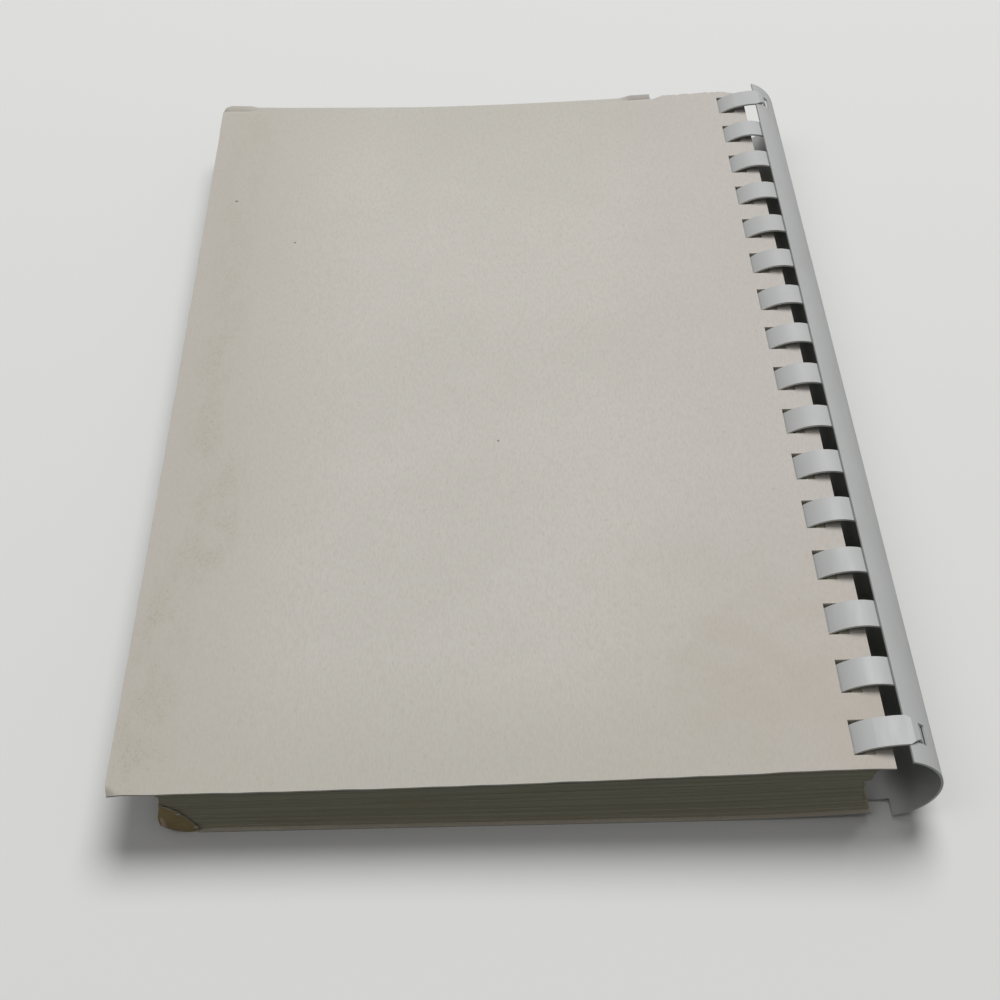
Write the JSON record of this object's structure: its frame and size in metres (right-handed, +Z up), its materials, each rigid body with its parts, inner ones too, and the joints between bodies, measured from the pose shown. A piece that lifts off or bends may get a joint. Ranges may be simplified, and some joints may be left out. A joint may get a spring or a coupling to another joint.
{
  "type": "paperback book",
  "caption": "Comb-bound paperback book lying face down: two card covers and a block of leaves on a curled plastic comb.",
  "frame": {"origin": "under the middle of the book's bounding box, on the table it lies on", "axes": "+Z up out of the back cover, +Y along the comb, +X from the fore edge to the comb"},
  "size_m": [0.163, 0.2286, 0.0215],
  "materials": {
    "back_cover_card": "matt card, warm light grey with age tint",
    "front_cover_card": "matt card, golden brown outside",
    "leaves": "uncoated paper, cut edges",
    "comb_plastic": "off-white plastic, satin gloss"
  },
  "bodies": {
    "front": {"front_cover": "front_cover_card"},
    "leaves": {"text_block": "leaves", "comb": "comb_plastic"},
    "back": {"back_cover": "back_cover_card"}
  },
  "joints": [
    {"name": "front_cover_hinge", "type": "hinge", "parent": "front", "child": "leaves", "pos_m": [0.07068, 0, 0.01049], "axis": [0, 1, 0], "range_deg": [0, 43]},
    {"name": "back_cover_hinge", "type": "hinge", "parent": "leaves", "child": "back", "pos_m": [0.07068, 0, 0.01049], "axis": [0, 1, 0], "range_deg": [0, 40]}
  ]
}
